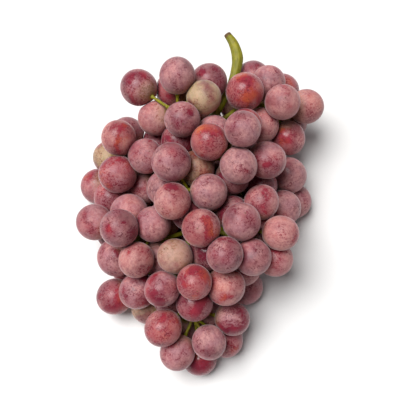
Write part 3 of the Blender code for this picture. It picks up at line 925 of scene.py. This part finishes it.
def stubLines():  # short dry stubs between the stalks, where a flower fell off, clear of every berry
    s = stubShape
    rng = random.Random(s["seed"])
    share = np.linspace(0, 1, s["points"])
    dry = np.clip(blendPair(s["dryRamp"], share), 0, 1)
    lines = []
    for branch in vine.branches:
        for first, second in zip(branch[1:-1], branch[2:]):
            if rng.random() > s["chance"]:
                continue
            start = (vine.points[first] + vine.points[second]) / 2
            for attempt in range(s["tries"]):
                way = np.array([rng.gauss(0, 1) for axis in range(3)])
                size = rng.uniform(*s["lengths"]) + growth["branchRadii"][1]
                end = start + way / lengthOf(way) * size
                room = (lengthOf(centres - end) - vine.radius).min()
                if room > s["radii"][0] + s["clear"] and end[2] > s["lowest"]:
                    line = start + (end - start) * share[:, None]
                    lines.append((line, blendPair(s["radii"], share), 0.0, dry))
                    break
    return lines


def stemLines():  # points, radii, how thick its kind is, and how dry
    lines = [mainStemLine()]
    lines += [sideBranchLine(branch) for branch in vine.branches]
    lines += [stalkLine(berry) for berry in range(vine.count)]
    return lines + stubLines()


def makeStemTree():  # turns edges into tubes of the radius that their points carry
    inputs = (("Ribs", "NodeSocketInt"), ("Rib Depth", "NodeSocketFloat"), ("Finish", "NodeSocketMaterial"))
    g, given = openShapeTree("tubesOnLines", inputs)
    radius = g.stored("tubeRadius", "FLOAT")
    curve = g.add("GeometryNodeMeshToCurve", None, {"Mesh": given["Geometry"]})
    inner = 1.0 - given["Rib Depth"]
    outer = 1.0 + given["Rib Depth"] * stemShape["ribCrown"]
    profile = {"Points": given["Ribs"], "Inner Radius": inner, "Outer Radius": outer}
    ring = g.add("GeometryNodeCurveStar", None, profile, "Curve")
    sweep = {"Curve": curve, "Profile Curve": ring, "Scale": radius, "Fill Caps": True}
    return closeShapeTree(g, g.add("GeometryNodeCurveToMesh", None, sweep), given["Finish"])


def lineShares(lines, data):  # thick and dry of each vertex, from the nearest points of the lines
    points = np.concatenate([line[0] for line in lines])
    thick = np.concatenate([np.full(len(line[0]), line[2]) for line in lines])
    dry = np.concatenate([line[3] for line in lines])
    finder = KDTree(len(points))
    for number, point in enumerate(points):
        finder.insert(Vector(point), number)
    finder.balance()
    shares = []
    for vertex in data.vertices:
        near = finder.find_n(vertex.co, stemShape["nearPoints"])
        weights = [1 / (distance + stemShape["blur"]) ** 2 for place, number, distance in near]
        found = [number for place, number, distance in near]
        shares.append([np.dot(weights, kind[found]) / sum(weights) for kind in (thick, dry)])
    return np.array(shares)


def dropStrayFaces(data):  # lone folded scraps that the trimming left: each corner has only two edges
    shape = bmesh.new()
    shape.from_mesh(data)
    strays = [face for face in shape.faces if all(len(corner.link_edges) < 3 for corner in face.verts)]
    bmesh.ops.delete(shape, geom=strays, context="FACES")
    shape.to_mesh(data)
    shape.free()


def makeStems():
    s = stemShape
    lines = stemLines()
    points, edges, sizes = [], [], []
    for line, radii, thick, dry in lines:
        first = len(points)
        points.extend(line)
        sizes.extend(radii)
        edges.extend((first + i, first + i + 1) for i in range(len(line) - 1))
    mesh = makeMesh("stemPoints", points, (), edges)
    setAttribute(mesh, "tubeRadius", "FLOAT", sizes)
    inputs = {"Ribs": s["ribs"], "Rib Depth": s["ribDepth"], "Finish": stemFinish}
    piece = runTree("grapeStems", mesh, makeStemTree(), inputs)
    melt = piece.modifiers.new("melt", "REMESH")
    melt.mode = "VOXEL"
    melt.voxel_size = s["voxel"]
    ease = piece.modifiers.new("ease", "SMOOTH")
    ease.factor = s["easeFactor"]
    ease.iterations = s["easeRounds"]
    trim = piece.modifiers.new("trim", "DECIMATE")
    trim.ratio = s["keepFaces"]
    data = plainMesh(piece)
    piece.modifiers.clear()
    piece.data = data
    dropStrayFaces(data)
    data.materials.clear()
    data.materials.append(stemFinish)
    shares = lineShares(lines, data)
    setAttribute(data, "thick", "FLOAT", shares[:, 0])
    setAttribute(data, "dry", "FLOAT", shares[:, 1])
    data.shade_smooth()
    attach(piece, root)
    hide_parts("stem")


makeStems()
print("stems made")


# Table, light and camera

studio = {
    "floorSize": 12.0, "rimWidth": 1.9, "rimHeight": 0.65, "world": (0.93, 0.96, 1.0), "worldStrength": 0.13,
    "keyPlace": (-0.36, 0.18, 1.00), "keySpread": 36.0, "keyStrength": 4.15,
}
lens = {
    "azimuth": 0.0, "elevation": 77.0, "distance": 0.465, "focal": 60.0, "nearest": 0.01,
    "target": (0.0, 0.001, 0.035),
}


def makeFloor():  # a flat table top, whose far rim turns up a little so that low views see no dark edge
    inner = studio["floorSize"] / 2
    outer = inner + studio["rimWidth"]
    corners = ((-1, -1), (1, -1), (1, 1), (-1, 1))
    points = [(x * inner, y * inner, 0) for x, y in corners]
    points += [(x * outer, y * outer, studio["rimHeight"]) for x, y in corners]
    faces = [(0, 1, 2, 3)] + [(4 + i, 4 + (i + 1) % 4, (i + 1) % 4, i) for i in range(4)]
    mesh = makeMesh("table", points, faces)
    mesh.materials.append(makeTableFinish())
    addObject("table", mesh)


def aim(item, place, target):
    way = Vector(target) - Vector(place)
    item.matrix_world = Matrix.Translation(Vector(place)) @ way.to_track_quat("-Z", "Y").to_matrix().to_4x4()


def addKeyLight():
    lamp = bpy.data.lights.new("keyLight", "SUN")
    lamp.angle = math.radians(studio["keySpread"])
    lamp.energy = studio["keyStrength"]
    aim(addObject("keyLight", lamp), studio["keyPlace"], (0, 0, 0))


def makeCamera():
    camera = addObject("camera", bpy.data.cameras.new("camera"))
    a, e = math.radians(lens["azimuth"]), math.radians(lens["elevation"])
    back = Vector((math.sin(a) * math.cos(e), -math.cos(a) * math.cos(e), math.sin(e)))
    camera.data.lens = lens["focal"]
    camera.data.clip_start = lens["nearest"]
    aim(camera, Vector(lens["target"]) + back * lens["distance"], lens["target"])
    bpy.context.scene.camera = camera


world = bpy.data.worlds.new("studio")
world.use_nodes = True
background = world.node_tree.nodes["Background"].inputs
background["Color"].default_value = (*studio["world"], 1.0)
background["Strength"].default_value = studio["worldStrength"]
bpy.context.scene.world = world
bpy.context.scene.view_settings.view_transform = "Standard"
makeFloor()
addKeyLight()
makeCamera()
print("table, light and camera set")
